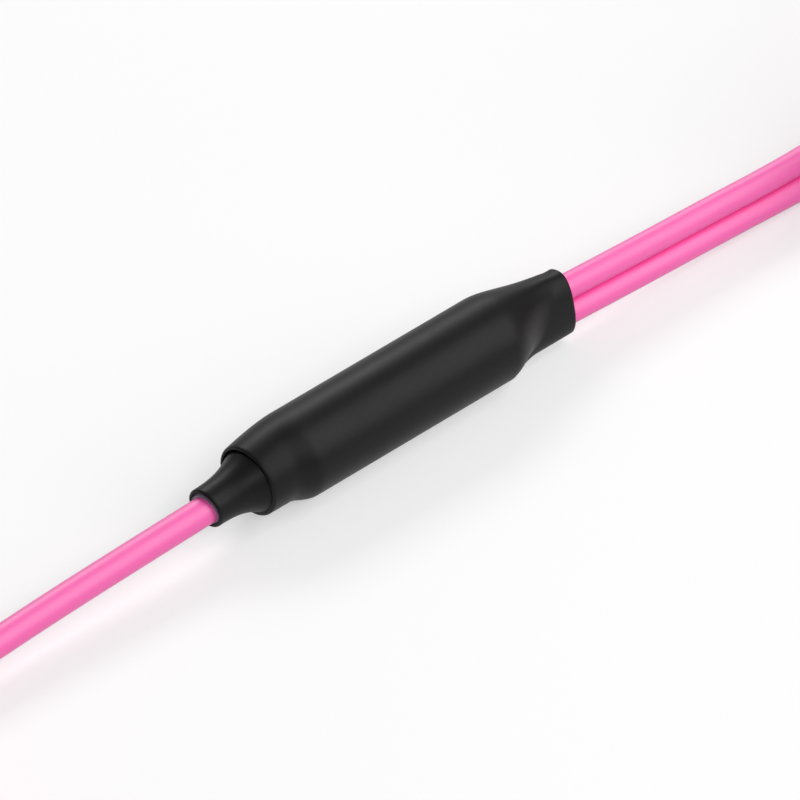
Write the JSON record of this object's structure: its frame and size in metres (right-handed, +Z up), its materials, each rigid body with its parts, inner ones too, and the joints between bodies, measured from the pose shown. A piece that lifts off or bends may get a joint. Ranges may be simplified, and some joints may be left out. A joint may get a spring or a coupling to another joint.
{
  "type": "fibre breakout cable",
  "caption": "Breakout cable for optical fibre: a round trunk enters a black heat-shrunk splitter body with an oval collar, and thinner legs leave it; push-on plugs end the cables.",
  "frame": {"origin": "under the middle of the breakout body, on the surface that it lies on", "axes": "+X along the body from the trunk towards the legs, +Z up"},
  "size_m": [0.2651, 0.0278, 0.021],
  "materials": {
    "cable_jacket": "satin pink jacket",
    "heat_shrink": "satin black",
    "adhesive": "cloudy grey hot-melt",
    "stiff_tube": "plain",
    "crimp_metal": "plated",
    "fibre_coating": "coated fibre",
    "resin": "cured resin",
    "strap": "woven hook strap",
    "boot_rubber": "matt",
    "plug_plastic": "moulded",
    "coupling_plastic": "moulded",
    "ferrule_resin": "filled resin",
    "spring_steel": "drawn wire"
  },
  "bodies": {
    "breakout": {"outer_sleeve": "heat_shrink", "trunk_boot": "heat_shrink", "boot_liner": "adhesive", "furcation_tube": "stiff_tube", "trunk_crimp": "crimp_metal", "trunk_end": "cable_jacket", "leg_plug": "stiff_tube", "leg_1_end": "cable_jacket", "leg_2_end": "cable_jacket", "fibre_group_1": "fibre_coating", "fibre_group_2": "fibre_coating", "potting": "resin", "trunk_cable": "cable_jacket", "trunk_tail": "cable_jacket", "leg_1_cable": "cable_jacket", "leg_2_cable": "cable_jacket", "leg_1_tail": "cable_jacket", "leg_2_tail": "cable_jacket", "trunk_hank": "cable_jacket", "legs_hank": "cable_jacket", "trunk_tie": "strap", "legs_tie": "strap", "trunk_plug_strain_boot": "boot_rubber", "trunk_plug_crimp_ring": "crimp_metal", "trunk_plug_rear_body": "plug_plastic", "trunk_plug_inner_housing": "plug_plastic", "trunk_plug_ferrule_spring": "spring_steel", "leg_1_plug_strain_boot": "boot_rubber", "leg_1_plug_crimp_ring": "crimp_metal", "leg_1_plug_rear_body": "plug_plastic", "leg_1_plug_inner_housing": "plug_plastic", "leg_1_plug_ferrule_spring": "spring_steel", "leg_2_plug_strain_boot": "boot_rubber", "leg_2_plug_crimp_ring": "crimp_metal", "leg_2_plug_rear_body": "plug_plastic", "leg_2_plug_inner_housing": "plug_plastic", "leg_2_plug_ferrule_spring": "spring_steel"},
    "trunk_plug_coupling": {"trunk_plug_coupling_sleeve": "coupling_plastic"},
    "trunk_plug_tip": {"trunk_plug_ferrule": "ferrule_resin"},
    "leg_1_plug_coupling": {"leg_1_plug_coupling_sleeve": "coupling_plastic"},
    "leg_1_plug_tip": {"leg_1_plug_ferrule": "ferrule_resin"},
    "leg_2_plug_coupling": {"leg_2_plug_coupling_sleeve": "coupling_plastic"},
    "leg_2_plug_tip": {"leg_2_plug_ferrule": "ferrule_resin"}
  },
  "joints": [
    {"name": "trunk_plug_release", "type": "slide", "parent": "breakout", "child": "trunk_plug_coupling", "axis": [1, 0, 0], "range_m": [0, 0.002], "stiffness_N_per_m": 300},
    {"name": "trunk_plug_float", "type": "slide", "parent": "breakout", "child": "trunk_plug_tip", "axis": [1, 0, 0], "range_m": [0, 0.0006], "stiffness_N_per_m": 800, "deforming": ["trunk_plug_ferrule_spring"]},
    {"name": "leg_1_plug_release", "type": "slide", "parent": "breakout", "child": "leg_1_plug_coupling", "axis": [-1, 0, 0], "range_m": [0, 0.002], "stiffness_N_per_m": 300},
    {"name": "leg_1_plug_float", "type": "slide", "parent": "breakout", "child": "leg_1_plug_tip", "axis": [-1, 0, 0], "range_m": [0, 0.0006], "stiffness_N_per_m": 800, "deforming": ["leg_1_plug_ferrule_spring"]},
    {"name": "leg_2_plug_release", "type": "slide", "parent": "breakout", "child": "leg_2_plug_coupling", "axis": [1, 0, 0], "range_m": [0, 0.002], "stiffness_N_per_m": 300},
    {"name": "leg_2_plug_float", "type": "slide", "parent": "breakout", "child": "leg_2_plug_tip", "axis": [1, 0, 0], "range_m": [0, 0.0006], "stiffness_N_per_m": 800, "deforming": ["leg_2_plug_ferrule_spring"]}
  ]
}
